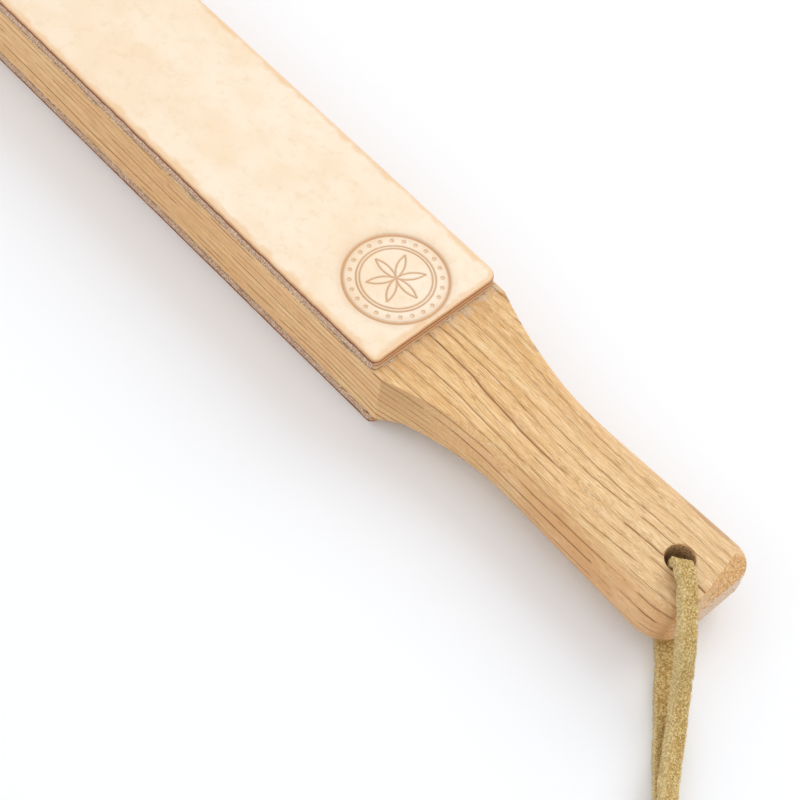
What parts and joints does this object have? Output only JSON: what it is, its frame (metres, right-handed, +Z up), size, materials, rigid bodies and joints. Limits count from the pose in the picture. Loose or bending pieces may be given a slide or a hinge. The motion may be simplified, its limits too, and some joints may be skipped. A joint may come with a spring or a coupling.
{
  "type": "leather strop",
  "caption": "Paddle strop for honing carving knives: oak blade and shaped handle in one, leather glued to both faces, suede hanging lace.",
  "frame": {"origin": "centre of the strop's length and width on the plane that its lower leather rests on, without the lace and its knot", "axes": "+X along the strop from the blade to the handle, +Y across its width, +Z up out of the stamped stropping face"},
  "size_m": [0.3521, 0.0898, 0.0277],
  "materials": {
    "oak": "oiled white oak, open grain, satin",
    "grain_leather": "vegetable-tanned, smooth grain side out, burnished rim",
    "flesh_leather": "vegetable-tanned, napped flesh side out",
    "glue": "dried contact glue, dull",
    "suede": "khaki-yellow split suede lace, fine nap"
  },
  "bodies": {
    "root": {"oak_paddle": "oak", "top_leather": "grain_leather", "bottom_leather": "flesh_leather", "top_glue_film": "glue", "bottom_glue_film": "glue", "lanyard_lace": "suede", "lanyard_knot": "suede"}
  },
  "joints": []
}
